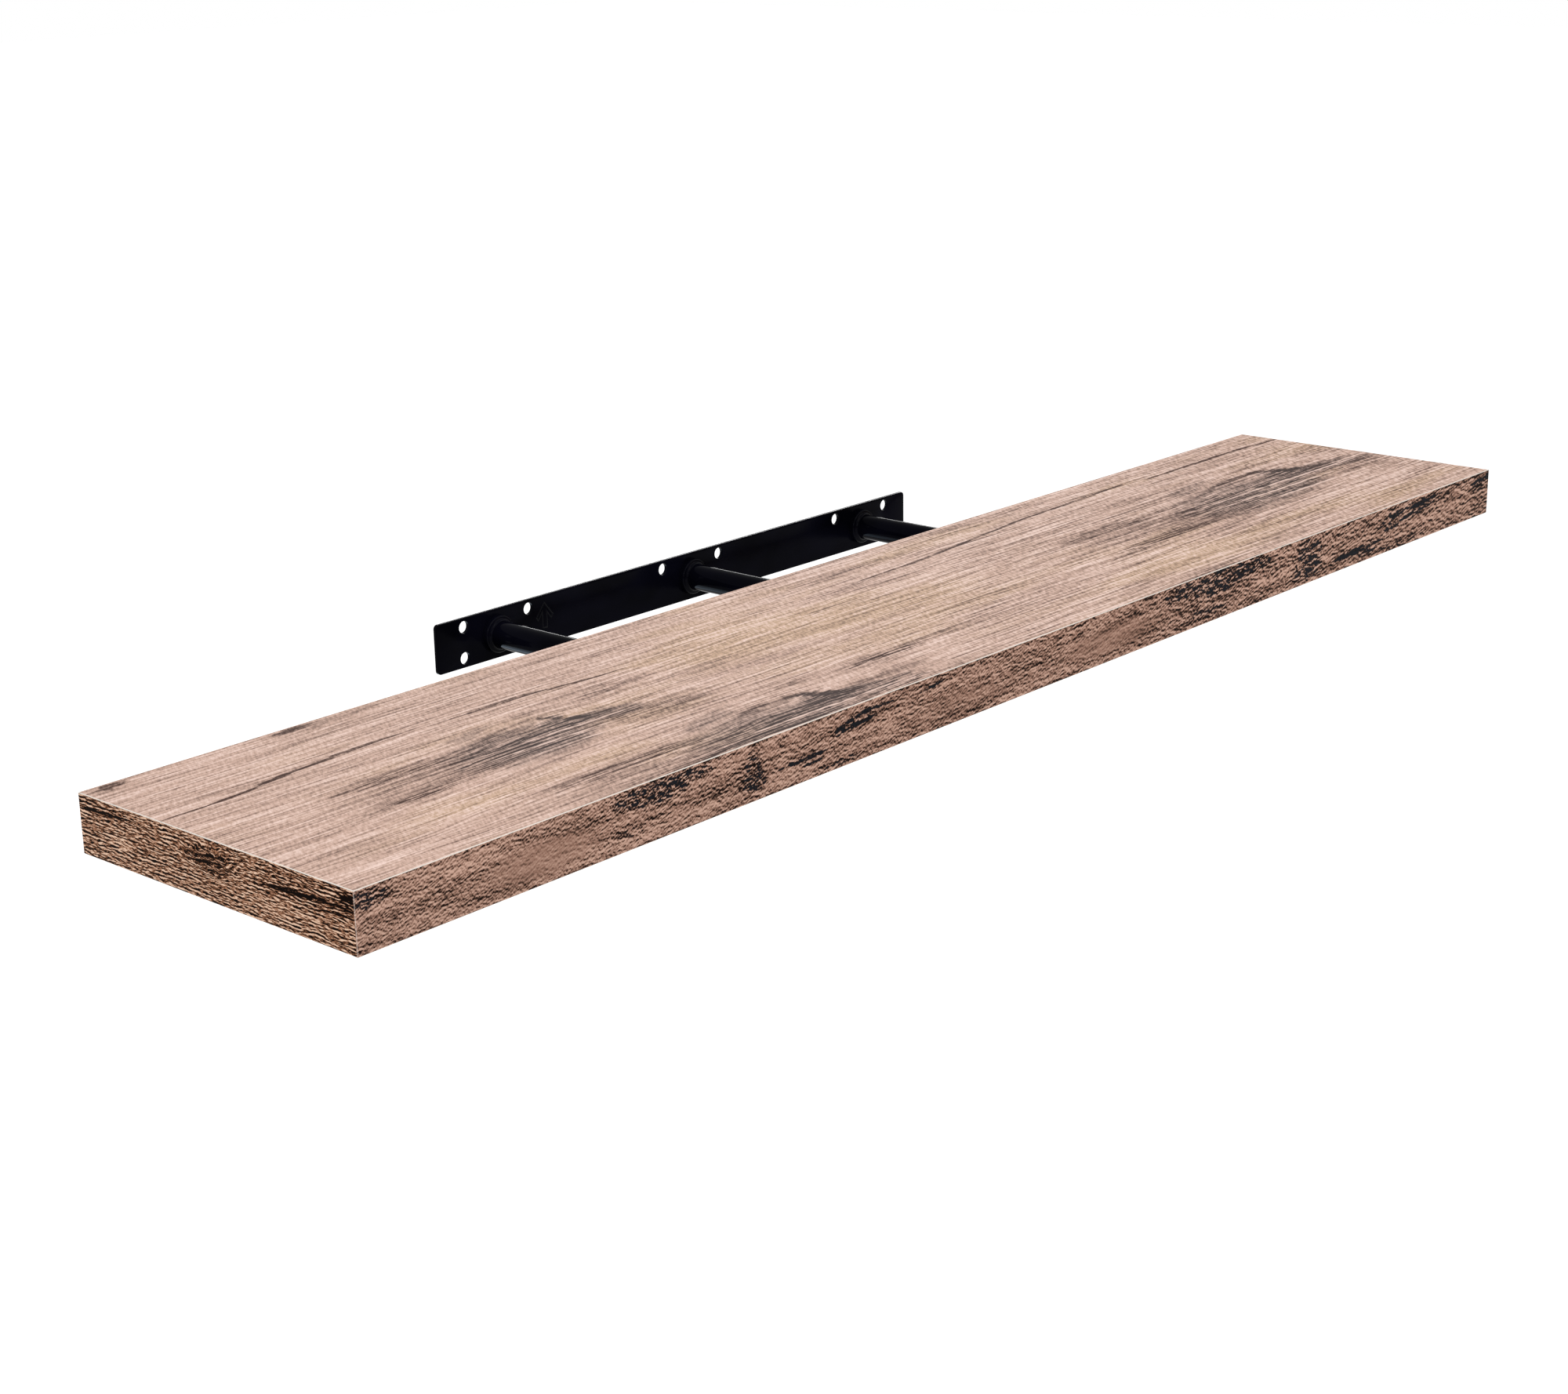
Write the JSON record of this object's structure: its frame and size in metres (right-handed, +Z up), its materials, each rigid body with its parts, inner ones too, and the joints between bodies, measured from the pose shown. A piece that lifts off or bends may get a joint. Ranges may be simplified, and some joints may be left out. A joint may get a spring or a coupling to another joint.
{
  "type": "floating wall shelf",
  "caption": "Hollow-core wall shelf board with a wood print that slides onto the rods of a black steel plate screwed to the wall.",
  "frame": {"origin": "centre of the back face of the wall plate, on the wall", "axes": "+X along the shelf to the right as seen from the room, +Y into the wall, +Z up; the room is at -Y"},
  "size_m": [1.2, 0.3365, 0.036],
  "materials": {
    "plate_coat": "glossy black powder coat with a faint blue cast",
    "rod_coat": "glossy black paint",
    "collar_coat": "glossy black paint",
    "plug_plastic": "moulded black plastic",
    "wood_print": "matt weathered wood print, pinkish tan with grey-black streaks",
    "front_print": "matt wood print, darker and bark-like",
    "end_print": "matt wood print with dark wavy grain lines",
    "fibreboard": "raw brown high-density fibreboard",
    "softwood": "raw planed softwood",
    "honeycomb_card": "raw kraft card"
  },
  "bodies": {
    "bracket": {"wall_plate": "plate_coat", "rod_left": "rod_coat", "rod_centre": "rod_coat", "rod_right": "rod_coat", "rod_collar_left": "collar_coat", "rod_collar_centre": "collar_coat", "rod_collar_right": "collar_coat", "rod_plug_left": "plug_plastic", "rod_plug_centre": "plug_plastic", "rod_plug_right": "plug_plastic"},
    "shelf": {"top_laminate": "wood_print", "bottom_laminate": "wood_print", "top_panel": "fibreboard", "bottom_panel": "fibreboard", "front_rail": "softwood", "back_rail": "softwood", "left_end_rail": "softwood", "right_end_rail": "softwood", "rod_guide_left": "softwood", "rod_guide_centre": "softwood", "rod_guide_right": "softwood", "honeycomb_left_end": "honeycomb_card", "honeycomb_left": "honeycomb_card", "honeycomb_right": "honeycomb_card", "honeycomb_right_end": "honeycomb_card", "front_edge_band": "front_print", "left_edge_band": "end_print", "right_edge_band": "end_print"}
  },
  "joints": [
    {"name": "shelf_slide", "type": "slide", "parent": "bracket", "child": "shelf", "axis": [0, 1, 0], "range_m": [-0.07, 0.098]}
  ]
}
